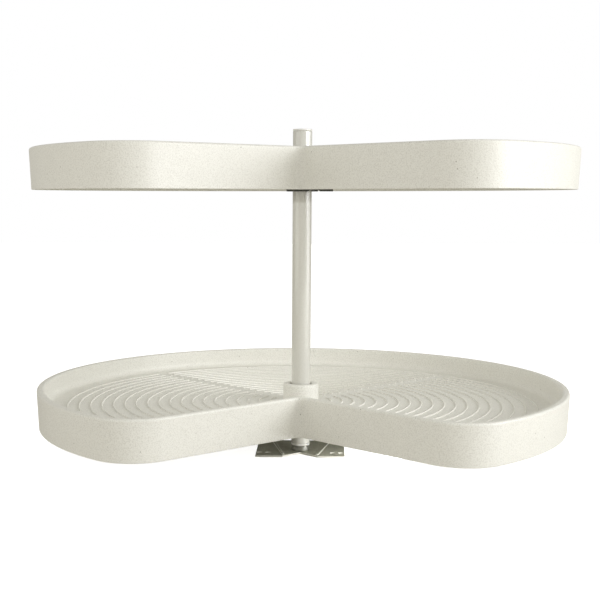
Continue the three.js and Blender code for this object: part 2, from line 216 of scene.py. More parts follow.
def turned(profile, segments=96):
    """A solid turned about Z from (radius, z) points that run from axis to axis or close on themselves."""
    vertices, faces, starts = [], [], []
    on_axis = profile[0][0] < 1e-9
    for radius, z in profile:
        starts.append(len(vertices))
        if radius < 1e-9:
            vertices.append((0, 0, z))
        else:
            vertices += [(x, y, z) for x, y in circle(radius, segments)]
    pairs = list(zip(starts, starts[1:])) + ([] if on_axis else [(starts[-1], starts[0])])
    for first, second in pairs:
        if first == starts[0] and on_axis:
            faces += [(first, second + (here + 1) % segments, second + here) for here in range(segments)]
        elif second == starts[-1] and on_axis:
            faces += [(second, first + here, first + (here + 1) % segments) for here in range(segments)]
        else:
            faces += ring_faces(first, second, segments)
    return vertices, faces


def lathe(corners, segments=96, steps=4):
    """turned() for a profile of (radius, z, rounding) corners."""
    closed = corners[0][0] > 1e-9
    return turned([tuple(point) for point in rounded(corners, closed, steps)], segments)


def sleeve(outer, inner, bottom, top, rounding=0.3 * MM, segments=96):
    """A tube with its edges rounded."""
    corners = [(outer, bottom), (outer, top), (inner, top), (inner, bottom)]
    return lathe([(radius, z, rounding) for radius, z in corners], segments)


def stud(radius, bottom, top, rounding=0.3 * MM, segments=48):
    """A solid round bar with its edges rounded."""
    corners = [(0, bottom, 0), (radius, bottom, rounding), (radius, top, rounding), (0, top, 0)]
    return lathe(corners, segments)


def swept(path, section, round_ends=0.0):
    """A closed section of (sideways, up) points along a flat path, with round ends of that length."""
    points = [Vector(point) for point in path]
    travelled = [0.0]
    for here, there in zip(points, points[1:]):
        travelled.append(travelled[-1] + (there - here).length)
    total = travelled[-1]
    stops = [(distance, 1.0) for distance in travelled if round_ends < distance < total - round_ends]
    for step in range(5):
        turn = math.radians(4 + 86 * step / 4)
        reach = round_ends * (1 - math.cos(turn))
        if round_ends:
            stops += [(reach, math.sin(turn)), (total - reach, math.sin(turn))]
    if not round_ends:
        stops += [(0.0, 1.0), (total, 1.0)]
    vertices, faces = [], []
    for distance, size in sorted(stops):
        leg = max(0, min(len(points) - 2, sum(mark <= distance for mark in travelled) - 1))
        along = (points[leg + 1] - points[leg]).normalized()
        place = points[leg] + along * (distance - travelled[leg])
        across = Vector((along.y, -along.x, 0))
        for sideways, up in section:
            vertices.append(place + across * sideways * size + Vector((0, 0, up * size if up > 0 else up)))
    count = len(section)
    rings = len(stops)
    for ring in range(rings - 1):
        faces += ring_faces(ring * count, (ring + 1) * count, count)
    faces.append(tuple(range(count)))
    faces.append(tuple(range((rings - 1) * count, rings * count)))
    return [tuple(vertex) for vertex in vertices], faces


def half_round(width, height, depth, steps=8):
    """A section that stands height above its base line and is sunk depth below it."""
    turns = [math.pi * step / steps for step in range(steps + 1)]
    arch = [(width / 2 * math.cos(turn), height * math.sin(turn) ** 0.5) for turn in turns]
    return arch + [(-width / 2, -depth), (width / 2, -depth)]


def extruded(outline, bottom, top):
    """A prism on a flat outline."""
    count = len(outline)
    vertices = [(x, y, bottom) for x, y in outline] + [(x, y, top) for x, y in outline]
    faces = ring_faces(0, count, count)
    faces += [tuple(reversed(range(count))), tuple(range(count, 2 * count))]
    return vertices, faces


def together(shapes):
    """Several shapes as one."""
    vertices, faces = [], []
    for more_vertices, more_faces in shapes:
        start = len(vertices)
        vertices += more_vertices
        faces += [tuple(index + start for index in face) for face in more_faces]
    return vertices, faces


def moved(shape, matrix):
    vertices, faces = shape
    return [tuple(matrix @ Vector(vertex)) for vertex in vertices], faces


def lifted(shape, height):
    return moved(shape, Matrix.Translation((0, 0, height)))


def mesh_object(name, shape, sharp=math.radians(32)):
    """A linked object with outward faces, smooth but for edges sharper than that angle."""
    vertices, faces = shape
    mesh = bpy.data.meshes.new(name)
    mesh.from_pydata(vertices, [], faces)
    soup = bmesh.new()
    soup.from_mesh(mesh)
    bmesh.ops.recalc_face_normals(soup, faces=soup.faces)
    soup.to_mesh(mesh)
    soup.free()
    mesh.polygons.foreach_set("use_smooth", [True] * len(mesh.polygons))
    mesh.set_sharp_from_angle(angle=sharp)
    made = bpy.data.objects.new(name, mesh)
    bpy.context.scene.collection.objects.link(made)
    return made


def applied(made):
    """Replaces the object's mesh with what its modifiers give."""
    graph = bpy.context.evaluated_depsgraph_get()
    mesh = bpy.data.meshes.new_from_object(made.evaluated_get(graph))
    made.modifiers.clear()
    made.data = mesh


def cut(made, *shapes):
    """Takes the shapes out of the object."""
    cutter = mesh_object("cutter", together(shapes))
    modifier = made.modifiers.new("cut", "BOOLEAN")
    modifier.operation = "DIFFERENCE"
    modifier.object = cutter
    modifier.solver = "EXACT"
    applied(made)
    bpy.data.objects.remove(cutter)


def soften(made, width, segments):
    """Rounds the object's sharp edges."""
    bevel = made.modifiers.new("edges", "BEVEL")
    bevel.width = width
    bevel.segments = segments
    bevel.limit_method = "ANGLE"
    bevel.angle_limit = math.radians(40)
    bevel.harden_normals = True


def even_shading(made):
    """Keeps flats flat next to small rounds."""
    made.modifiers.new("shading", "WEIGHTED_NORMAL").keep_sharp = True


def piece(made, body, slot, material, *nodes):
    """Hands a finished object to the frame, standing for CAD nodes."""
    made.data.materials.clear()
    made.data.materials.append(material)
    even_shading(made)
    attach(made, body)
    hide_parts(*nodes)
    return made


# ---- Materials -----------------------------------------------------------------------------


class Look:
    """A Principled material and short ways to add nodes to it."""

    def __init__(self, name, colour, roughness, metallic=0.0):
        self.material = bpy.data.materials.new(name)
        self.material.use_nodes = True
        self.tree = self.material.node_tree
        self.shader = self.tree.nodes["Principled BSDF"]
        self.colour = (*colour, 1)
        self.shader.inputs["Base Color"].default_value = self.colour
        self.shader.inputs["Roughness"].default_value = roughness
        self.shader.inputs["Metallic"].default_value = metallic
        self.coordinates = self.tree.nodes.new("ShaderNodeTexCoord").outputs["Object"]

    def link(self, output, socket):
        self.tree.links.new(output, socket)

    def stretched(self, stretch):
        """Object coordinates scaled along each axis."""
        mapping = self.tree.nodes.new("ShaderNodeMapping")
        mapping.inputs["Scale"].default_value = stretch
        self.link(self.coordinates, mapping.inputs["Vector"])
        return mapping.outputs["Vector"]

    def noise(self, size, detail=2.0, stretch=(1, 1, 1)):
        """Soft noise with features of about that size."""
        noise = self.tree.nodes.new("ShaderNodeTexNoise")
        noise.inputs["Scale"].default_value = 1 / size
        noise.inputs["Detail"].default_value = detail
        self.link(self.stretched(stretch), noise.inputs["Vector"])
        return noise.outputs["Fac"]

    def spots(self, spacing, share, radius):
        """1 in round spots that sit in a share of the cells of that spacing, and 0 elsewhere."""
        cells = self.tree.nodes.new("ShaderNodeTexVoronoi")
        cells.inputs["Scale"].default_value = 1 / spacing
        self.link(self.coordinates, cells.inputs["Vector"])
        chosen = self.math("LESS_THAN", self.first_channel(cells.outputs["Color"]), share)
        near = self.remap(cells.outputs["Distance"], radius / spacing, 0.5 * radius / spacing, 0, 1)
        return self.math("MULTIPLY", near, chosen)

    def upright(self):
        """1 where the surface faces sideways or slopes steeply, 0 where it lies flat."""
        coordinates = self.tree.nodes.new("ShaderNodeTexCoord")
        split = self.tree.nodes.new("ShaderNodeSeparateXYZ")
        self.link(coordinates.outputs["Normal"], split.inputs["Vector"])
        return self.remap(self.math("ABSOLUTE", split.outputs["Z"], 0), 0.97, 0.75, 0, 1)

    def first_channel(self, colour):
        split = self.tree.nodes.new("ShaderNodeSeparateColor")
        self.link(colour, split.inputs["Color"])
        return split.outputs["Red"]

    def math(self, operation, first, second):
        """A Math node. Either side may be a socket or a number."""
        node = self.tree.nodes.new("ShaderNodeMath")
        node.operation = operation
        for value, socket in ((first, node.inputs[0]), (second, node.inputs[1])):
            if isinstance(value, (int, float)):
                socket.default_value = value
            else:
                self.link(value, socket)
        return node.outputs["Value"]

    def remap(self, value, low, high, to_low, to_high):
        node = self.tree.nodes.new("ShaderNodeMapRange")
        self.link(value, node.inputs["Value"])
        limits = {"From Min": low, "From Max": high, "To Min": to_low, "To Max": to_high}
        for name, number in limits.items():
            node.inputs[name].default_value = number
        return node.outputs["Result"]

    def tint(self, factor, colour):
        """Mixes the base colour towards another one."""
        mix = self.tree.nodes.new("ShaderNodeMix")
        mix.data_type = "RGBA"
        base = self.shader.inputs["Base Color"]
        if base.is_linked:
            self.link(base.links[0].from_socket, mix.inputs["A"])
        else:
            mix.inputs["A"].default_value = self.colour
        mix.inputs["B"].default_value = (*colour, 1)
        self.link(factor, mix.inputs["Factor"])
        self.link(mix.outputs["Result"], base)

    def rough(self, value, smoothest, roughest):
        self.link(self.remap(value, 0.3, 0.7, smoothest, roughest), self.shader.inputs["Roughness"])

    def bump(self, value, height, strength=1.0):
        """Raises the surface where value is 1, on top of any bump before it."""
        bump = self.tree.nodes.new("ShaderNodeBump")
        bump.inputs["Distance"].default_value = height
        bump.inputs["Strength"].default_value = strength
        normal = self.shader.inputs["Normal"]
        if normal.is_linked:
            self.link(normal.links[0].from_socket, bump.inputs["Normal"])
        self.link(value, bump.inputs["Height"])
        self.link(bump.outputs["Normal"], normal)


def shelf_plastic():
    """Warm white moulded polymer with a fine stipple and a few dark specks."""
    look = Look("shelf_plastic", (0.87, 0.863, 0.81), 0.5)
    look.tint(look.remap(look.noise(120 * MM, 3), 0.35, 0.65, 0, 0.5), (0.85, 0.84, 0.78))
    look.tint(look.remap(look.noise(1.3 * MM, 1), 0.45, 0.65, 0, 1), (0.75, 0.74, 0.685))
    look.tint(look.math("MULTIPLY", look.spots(12 * MM, 0.4, 0.9 * MM), 0.8), (0.3, 0.28, 0.23))
    look.rough(look.noise(3 * MM, 3), 0.38, 0.52)
    look.bump(look.noise(1.5 * MM, 2), 0.12 * MM)
    look.bump(look.noise(60 * MM, 1), 0.5 * MM, 0.3)
    return look.material


def pole_paint():
    """Semi-gloss powder coat: warm white, with orange peel."""
    look = Look("pole_paint", (0.7, 0.693, 0.64), 0.4)
    look.tint(look.remap(look.noise(2 * MM, 2), 0.4, 0.7, 0, 0.4), (0.62, 0.61, 0.55))
    look.tint(look.math("MULTIPLY", look.spots(9 * MM, 0.3, 0.3 * MM), 0.4), (0.35, 0.33, 0.29))
    look.rough(look.noise(6 * MM, 2), 0.34, 0.46)
    look.bump(look.noise(2.2 * MM, 1), 0.015 * MM)
    look.shader.inputs["Coat Weight"].default_value = 1
    look.shader.inputs["Coat IOR"].default_value = 1.8
    look.shader.inputs["Coat Roughness"].default_value = 0.14
    return look.material


def nylon():
    """White moulded nylon, slightly translucent and waxy."""
    look = Look("nylon", (0.9, 0.89, 0.85), 0.38)
    look.tint(look.remap(look.noise(18 * MM, 2), 0.35, 0.65, 0, 0.5), (0.82, 0.805, 0.74))
    look.rough(look.noise(2 * MM, 2), 0.32, 0.46)
    look.bump(look.noise(0.8 * MM, 2), 0.02 * MM)
    look.shader.inputs["Subsurface Weight"].default_value = 0.08
    look.shader.inputs["Subsurface Radius"].default_value = (2 * MM, 1.6 * MM, 1.2 * MM)
    look.shader.inputs["Subsurface Scale"].default_value = 1.0
    return look.material


def plate_steel():
    """Dull pressed steel: rolled grain and stains, with a painted highlight on faces that stand sideways or
    slope steeply.
    """
    look = Look("plate_steel", (0.42, 0.42, 0.34), 0.5, 0.3)
    look.tint(look.remap(look.noise(9 * MM, 4), 0.35, 0.7, 0, 0.7), (0.33, 0.33, 0.265))
    look.tint(look.remap(look.noise(1.2 * MM, 3, (1, 0.06, 1)), 0.45, 0.75, 0, 0.6), (0.52, 0.52, 0.44))
    # Painted highlight: faces that stand sideways or slope steeply (plate edges, countersinks, bead flanks)
    # are tinted near-white as if lit
    look.tint(look.upright(), (0.93, 0.92, 0.86))
    look.rough(look.noise(5 * MM, 4), 0.38, 0.62)
    look.bump(look.noise(0.9 * MM, 3, (1, 0.08, 1)), 0.03 * MM)
    return look.material


def bright_steel():
    """Zinc-plated steel with turning marks round the axis."""
    look = Look("bright_steel", (0.42, 0.42, 0.38), 0.34, 0.9)
    look.tint(look.remap(look.noise(5 * MM, 4), 0.35, 0.7, 0, 0.6), (0.3, 0.3, 0.27))
    look.rough(look.noise(2 * MM, 3), 0.26, 0.44)
    look.bump(look.noise(0.5 * MM, 2, (0.06, 0.06, 1)), 0.02 * MM)
    return look.material


def dark_steel():
    """Blackened steel, a little brown and rubbed."""
    look = Look("dark_steel", (0.07, 0.068, 0.062), 0.42, 0.85)
    look.tint(look.remap(look.noise(4 * MM, 4), 0.45, 0.75, 0, 0.7), (0.17, 0.16, 0.14))
    look.rough(look.noise(1.5 * MM, 3), 0.32, 0.55)
    look.bump(look.noise(0.6 * MM, 3), 0.03 * MM)
    return look.material


MATERIALS = {
    "shelf_plastic": shelf_plastic(),
    "pole_paint": pole_paint(),
    "nylon": nylon(),
    "plate_steel": plate_steel(),
    "bright_steel": bright_steel(),
    "dark_steel": dark_steel(),
}
SLOTS = {row["node"]: row["material_slot"] for row in frame["record"]["subparts"]}
BODIES = {node: body for body, nodes in frame["record"]["behaviour"]["bodies"].items() for node in nodes}


def stands_for(made, node):
    """Gives the object its CAD node's body and the material for its slot."""
    slot = SLOTS[node]
    return piece(made, BODIES[node], slot, MATERIALS[slot], node)


def fine(node, shape, sharp=math.radians(32)):
    """A detailed object that stands for one CAD node."""
    return stands_for(mesh_object(f"{node}_fine", shape, sharp), node)


# ---- Kidney outline ------------------------------------------------------------------------

low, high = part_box("lower_shelf")
SHELF_RADIUS = high.x
SKIRT_HEIGHT = high.z - low.z


def arc(centre, radius, start, end, steps):
    """Points on an arc, both ends included."""
    turns = [start + (end - start) * step / steps for step in range(steps + 1)]
    return [(centre[0] + radius * math.cos(turn), centre[1] + radius * math.sin(turn)) for turn in turns]


def tip_centre():
    """Centre of the right lobe's tip round, which touches both the notch wall and the outer circle."""
    along = Vector((math.sin(NOTCH_HALF_ANGLE), -math.cos(NOTCH_HALF_ANGLE)))
    inwards = Vector((math.cos(NOTCH_HALF_ANGLE), math.sin(NOTCH_HALF_ANGLE)))
    start = Vector((0, -NOTCH_DEPTH)) + TIP_ROUND * inwards
    slope = start.dot(along)
    reach = start.length_squared - (SHELF_RADIUS - TIP_ROUND) ** 2
    return start + along * (math.sqrt(slope**2 - reach) - slope)


TIP_CENTRE = tip_centre()
TIP_ANGLE = math.atan2(TIP_CENTRE.y, TIP_CENTRE.x)


def kidney(inset):
    """The kidney outline moved inwards by inset, anticlockwise from above.

    Every inset has the same number of points, so two of them can be joined with ring_faces.
    """
    notch_centre = (0, -NOTCH_DEPTH - NOTCH_ROUND / math.sin(NOTCH_HALF_ANGLE))
    rim = SHELF_RADIUS - inset
    right = arc(notch_centre, NOTCH_ROUND + inset, math.pi / 2, NOTCH_HALF_ANGLE, 8)
    right += arc(TIP_CENTRE, TIP_ROUND - inset, NOTCH_HALF_ANGLE - math.pi, -math.pi / 2, 14)
    right += arc(TIP_CENTRE, TIP_ROUND - inset, -math.pi / 2, TIP_ANGLE, 14)[1:]
    right += arc((0, 0), rim, TIP_ANGLE, 0, 32)[1:]
    right += arc((0, 0), rim, 0, math.pi / 2, 60)[1:]
    left = [(-x, y) for x, y in right[1:-1]]
    return right + left[::-1]


def inside(x, y, outline):
    """Whether a point lies inside a closed outline."""
    crossings = 0
    for (ax, ay), (bx, by) in zip(outline, outline[1:] + outline[:1]):
        if (ay > y) != (by > y) and x < ax + (y - ay) / (by - ay) * (bx - ax):
            crossings += 1
    return crossings % 2 == 1


def last_angle(radius, outline):
    """How far round towards -Y a circle about the pole runs, from +X, before it leaves the outline."""
    near, far = 0.0, -math.pi / 2
    if inside(radius * math.cos(far), radius * math.sin(far), outline):
        return far
    for _ in range(24):
        middle = (near + far) / 2
        if inside(radius * math.cos(middle), radius * math.sin(middle), outline):
            near = middle
        else:
            far = middle
    return near


# ---- Shelf ---------------------------------------------------------------------------------


def moulding():
    """Rim, skirt, floor and hub as one closed surface, on rings of kidneys outside and circles inside."""
    floor_bottom = FLOOR_TOP - WALL
    flat_start = RIM_WIDTH + COVE + 1 * MM
    rim_section = rounded(
        [
            (flat_start, FLOOR_TOP, 0),
            (RIM_WIDTH, FLOOR_TOP, COVE),
            (RIM_WIDTH, SKIRT_HEIGHT, RIM_ROUND),
            (0, SKIRT_HEIGHT, RIM_ROUND),
            (DRAFT, 0, 1 * MM),
            (DRAFT + WALL, 0, 0.6 * MM),
            (WALL, SKIRT_HEIGHT - WALL, 1.2 * MM),
            (RIM_WIDTH - WALL, SKIRT_HEIGHT - WALL, 1.2 * MM),
            (RIM_WIDTH - WALL, floor_bottom, 2 * MM),
            (flat_start, floor_bottom, 0),
        ],
        steps=6,
    )
    flat_end = HUB_RADIUS + HUB_FILLET + 1 * MM
    hub_section = rounded(
        [
            (flat_end, FLOOR_TOP, 0),
            (HUB_RADIUS, FLOOR_TOP, HUB_FILLET),
            (HUB_RADIUS, HUB_TOP, HUB_ROUND),
            (HUB_BORE, HUB_TOP, 0.8 * MM),
            (HUB_BORE, HUB_BOTTOM, 0.5 * MM),
            (HUB_RADIUS, HUB_BOTTOM, 0.8 * MM),
            (HUB_RADIUS, floor_bottom, HUB_FILLET),
            (flat_end, floor_bottom, 0),
        ],
        steps=6,
    )
    vertices, faces = [], []
    outer_starts, inner_starts = [], []
    for inset, z in rim_section:
        outer_starts.append(len(vertices))
        vertices += [(x, y, z) for x, y in kidney(inset)]
    outer_count = len(vertices) // len(outer_starts)
    inner_count = 96
    for radius, z in hub_section:
        inner_starts.append(len(vertices))
        vertices += [(x, y, z) for x, y in circle(radius, inner_count)]
    for first, second in zip(outer_starts, outer_starts[1:]):
        faces += ring_faces(first, second, outer_count)
    for first, second in zip(inner_starts, inner_starts[1:]):
        faces += ring_faces(first, second, inner_count)
    for outer, inner in ((outer_starts[0], inner_starts[0]), (outer_starts[-1], inner_starts[-1])):
        index_of = list(range(outer, outer + outer_count)) + list(range(inner, inner + inner_count))
        loops = [[Vector(vertices[index]) for index in index_of[:outer_count]]]
        loops.append([Vector(vertices[index]) for index in index_of[outer_count:]])
        faces += [tuple(index_of[corner] for corner in triangle) for triangle in tessellate_polygon(loops)]
    return vertices, faces


def arc_path(radius, start, end, z):
    """Points at most ARC_STEP apart along an arc about the pole."""
    steps = max(4, math.ceil(abs(end - start) * radius / ARC_STEP))
    return [(x, y, z) for x, y in arc((0, 0), radius, start, end, steps)]


def under_ribs():
    """Radial ribs and one ring rib under the floor, with a slim rounded edge."""
    top = FLOOR_TOP - WALL / 2
    bottom = FLOOR_TOP - WALL - UNDER_RIB_DEPTH
    half = UNDER_RIB_THICKNESS / 2
    tip = half * 0.75
    depth = bottom - top
    edge = rounded([(half, 0, 0), (tip, depth, 0.6 * MM), (-tip, depth, 0.6 * MM), (-half, 0, 0)], steps=3)
    section = [(-half, 0), (half, 0)] + [tuple(point) for point in edge[1:-1]]
    lengths = (HUB_RADIUS - WALL, SHELF_RADIUS - DRAFT - WALL / 4)
    ribs = []
    for angle in UNDER_RIB_ANGLES:
        ends = [(length * math.cos(angle), length * math.sin(angle), top) for length in lengths]
        ribs.append(swept(ends, section))
    end = last_angle(UNDER_RING_RADIUS, kidney(DRAFT + WALL / 4))
    ribs.append(swept(arc_path(UNDER_RING_RADIUS, end, math.pi - end, top), section))
    return together(ribs)


def grip_ribs():
    """Concentric raised arcs on the floor."""
    section = half_round(GRIP_WIDTH, GRIP_HEIGHT, depth=0.4 * MM)
    outline = kidney(GRIP_EDGE)
    ribs = []
    for index in range(GRIP_COUNT):
        radius = GRIP_FIRST_RADIUS + index * GRIP_PITCH
        strip = GRIP_STRIP_HALF_WIDTH / radius
        front = max(last_angle(radius, outline), strip - math.pi / 2)
        side = GRIP_STRIP_ANGLE - strip
        rear = GRIP_STRIP_ANGLE + strip
        for start, end in ((front, side), (rear, math.pi - rear), (math.pi - side, math.pi - front)):
            ribs.append(swept(arc_path(radius, start, end, FLOOR_TOP), section, GRIP_WIDTH / 2))
    return together(ribs)


def on_circle(angle):
    """Moves a shape from the pole's axis to a hub screw's place."""
    return Matrix.Translation((HUB_SCREW_CIRCLE * math.cos(angle), HUB_SCREW_CIRCLE * math.sin(angle), 0))


def thread(radius, depth, pitch, bottom, top, segments=32):
    """A threaded bar: its surface swells and shrinks along a helix."""
    steps = math.ceil((top - bottom) / pitch * 8)
    vertices, faces = [(0, 0, bottom)], []
    for step in range(steps + 1):
        z = bottom + (top - bottom) * step / steps
        for x, y in circle(1, segments):
            turn = math.atan2(y, x) / (2 * math.pi)
            phase = (z / pitch - turn) % 1
            here = radius - depth * abs(2 * phase - 1)
            vertices.append((here * x, here * y, z))
    vertices.append((0, 0, top))
    last = 1 + steps * segments
    for step in range(steps):
        faces += ring_faces(1 + step * segments, 1 + (step + 1) * segments, segments)
    for here in range(segments):
        there = (here + 1) % segments
        faces.append((0, 1 + there, 1 + here))
        faces.append((len(vertices) - 1, last + here, last + there))
    return vertices, faces


def fluted(radius, flute_depth, flutes, bottom, top, rounding):
    """A round grip with flutes along it."""
    vertices, faces = stud(radius, bottom, top, rounding, flutes * 12)
    shaped = []
    for x, y, z in vertices:
        distance = math.hypot(x, y)
        wave = max(0.0, math.cos(flutes * math.atan2(y, x))) ** 2
        size = 1 - flute_depth / radius * wave * (distance / radius) ** 2
        shaped.append((x * size, y * size, z))
    return shaped, faces


ALONG_X = Matrix.Rotation(math.pi / 2, 4, "Y")
ALONG_Y = Matrix.Rotation(-math.pi / 2, 4, "X")


def collar(name):
    """A clamp ring under the hub, drilled for its three screws."""
    node = f"{name}_collar"
    low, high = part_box(node)
    screw_low, screw_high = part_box(f"{name}_hub_screw_1")
    head_radius = (screw_high.x - screw_low.x) / 2
    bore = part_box("pole_tube")[1].x + COLLAR_HOLE_GAP
    made = mesh_object(f"{node}_fine", sleeve(high.x, bore, low.z, high.z, 0.6 * MM))
    pocket = stud(head_radius + COLLAR_HOLE_GAP, low.z - CUT_OVERLAP, low.z + COLLAR_POCKET_DEPTH, 0.1 * MM)
    clearance = stud(COLLAR_CLEARANCE_RADIUS, low.z - CUT_OVERLAP, high.z + CUT_OVERLAP, 0.1 * MM)
    for angle in HUB_SCREW_ANGLES:
        cut(made, moved(pocket, on_circle(angle)))
        cut(made, moved(clearance, on_circle(angle)))
    return stands_for(made, node)


def thumb_screw(name):
    """A fluted thumb screw in the collar, pointing at the pole."""
    node = f"{name}_collar_screw"
    low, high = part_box(node)
    height = (low.z + high.z) / 2
    head_radius = (high.z - low.z) / 2
    head_start = high.x - THUMB_HEAD_LENGTH
    head = fluted(head_radius, THUMB_FLUTE_DEPTH, THUMB_FLUTES, head_start, high.x, 0.8 * MM)
    neck = stud(THUMB_NECK_RADIUS, head_start - 1.2 * MM, head_start + 0.5 * MM, 0.3 * MM)
    shank = thread(THUMB_THREAD_RADIUS, 0.5 * MM, 1 * MM, low.x, head_start)
    shape = moved(together([head, neck, shank]), ALONG_X)
    return fine(node, lifted(shape, height))


def hub_screw(name, index, angle):
    """A slotted pan-head screw, driven up through the collar into the hub."""
    node = f"{name}_hub_screw_{index}"
    low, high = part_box(node)
    head_radius = (high.x - low.x) / 2
    head_top = low.z + HUB_SCREW_HEAD_HEIGHT
    head = lathe([
        (0, low.z, 0), (head_radius, low.z, 1.1 * MM), (head_radius, head_top, 0.2 * MM), (0, head_top, 0),
    ], 40)
    made = mesh_object(f"{node}_fine", head)
    slot_half = SCREW_SLOT_WIDTH / 2
    reach = 5 * MM
    slot = [(-reach, -slot_half), (reach, -slot_half), (reach, slot_half), (-reach, slot_half)]
    cut(made, extruded(slot, low.z - CUT_OVERLAP, low.z + SCREW_SLOT_DEPTH))
    threaded = thread(HUB_SCREW_THREAD_RADIUS, 0.35 * MM, 1.1 * MM, head_top - 0.3 * MM, high.z, 20)
    shank = mesh_object("shank", threaded)
    made.data.transform(on_circle(angle))
    shank.data.transform(on_circle(angle))
    whole = bmesh.new()
    whole.from_mesh(made.data)
    whole.from_mesh(shank.data)
    whole.to_mesh(made.data)
    whole.free()
    bpy.data.objects.remove(shank)
    return stands_for(made, node)


def shelf(name):
    """One turntable: the moulding with its ribs, and its hub hardware."""
    body = BODIES[f"{name}_shelf"]
    plastic = MATERIALS["shelf_plastic"]
    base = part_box(f"{name}_shelf")[0].z
    fine(f"{name}_shelf", lifted(moulding(), base))
    for part, shape in (("grip_ribs", grip_ribs()), ("under_ribs", under_ribs())):
        piece(mesh_object(f"{name}_{part}", lifted(shape, base)), body, "shelf_plastic", plastic)
    low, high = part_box(f"{name}_hub_sleeve")
    fine(f"{name}_hub_sleeve", sleeve(high.x, high.x - HUB_SLEEVE_WALL, low.z, high.z, 0.4 * MM))
    collar(name)
    thumb_screw(name)
    for index, angle in enumerate(HUB_SCREW_ANGLES, 1):
        hub_screw(name, index, angle)


# ---- Pole ----------------------------------------------------------------------------------


def pole():
    """The pole, its bushes, the tube inside it, and the screw that locks the two."""
    low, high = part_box("pole_tube")
    radius = high.x
    nut_low, nut_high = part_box("lock_nut")
    lock_height = (nut_low.z + nut_high.z) / 2
    wall = sleeve(radius, radius - TUBE_WALL, low.z, high.z, POLE_EDGE_ROUND, 128)
    tube = mesh_object("pole_tube_fine", wall)
    hole = stud(LOCK_HOLE_RADIUS, 0, radius + 5 * MM)
    cut(tube, lifted(moved(hole, ALONG_Y), lock_height))
    stands_for(tube, "pole_tube")

    bushes = (("foot_bush", False, FOOT_BUSH_BORE), ("top_bush", True, TOP_BUSH_BORE))
    for node, flange_up, bore in bushes:
        low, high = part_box(node)
        flange_end, sleeve_end = (high.z, low.z) if flange_up else (low.z, high.z)
        shoulder = flange_end + math.copysign(BUSH_FLANGE, sleeve_end - flange_end)
        inner = radius - BUSH_STEP
        fine(node, lathe([
            (radius, flange_end, 0.5 * MM), (radius, shoulder, 0.6 * MM), (inner, shoulder, 0),
            (inner, sleeve_end, 0.3 * MM), (bore, sleeve_end, 0.3 * MM), (bore, flange_end, 0.4 * MM),
        ]))

    low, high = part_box("inner_tube")
    inner_wall = high.x - TUBE_WALL
    fine("inner_tube", sleeve(high.x, inner_wall, low.z, high.z))
    low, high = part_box("guide_plug")
    shank = inner_wall - GUIDE_GAP
    shoulder = low.z + GUIDE_FLANGE
    fine("guide_plug", lathe([
        (0, low.z, 0), (high.x, low.z, 0.4 * MM), (high.x, shoulder, 0.3 * MM),
        (shank, shoulder, 0), (shank, high.z, 1 * MM), (0, high.z, 0),
    ]))
    low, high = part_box("top_plug")
    bore_end = high.z - STUD_BORE_DEPTH
    fine("top_plug", lathe([
        (0, low.z, 0), (high.x, low.z, 0.6 * MM), (high.x, high.z, 0.3 * MM),
        (STUD_BORE_RADIUS, high.z, 0.6 * MM), (STUD_BORE_RADIUS, bore_end, 0), (0, bore_end, 0),
    ]))

    low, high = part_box("lock_nut")
    flange_start = high.y - LOCK_FLANGE_THICKNESS
    flange = (high.x - low.x) / 2
    nut = lathe([
        (LOCK_NUT_RADIUS, low.y, 0.2 * MM), (LOCK_NUT_RADIUS, flange_start, 0),
        (flange, flange_start, 0.2 * MM), (flange, high.y, 0.5 * MM),
        (LOCK_NUT_BORE, high.y, 0.3 * MM), (LOCK_NUT_BORE, low.y, 0.1 * MM),
    ], 64)
    fine("lock_nut", lifted(moved(nut, ALONG_Y), lock_height))
    low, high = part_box("lock_screw")
    threaded = thread(LOCK_SCREW_RADIUS, 0.35 * MM, 0.8 * MM, low.y, high.y)
    screw = mesh_object("lock_screw_fine", threaded)
    screw.data.transform(Matrix.Translation((0, 0, lock_height)) @ ALONG_Y)
    socket = extruded(circle(SOCKET_RADIUS, 6), high.y - SOCKET_DEPTH, high.y + CUT_OVERLAP)
    cut(screw, lifted(moved(socket, ALONG_Y), lock_height))
    stands_for(screw, "lock_screw")


# ---- Base ----------------------------------------------------------------------------------


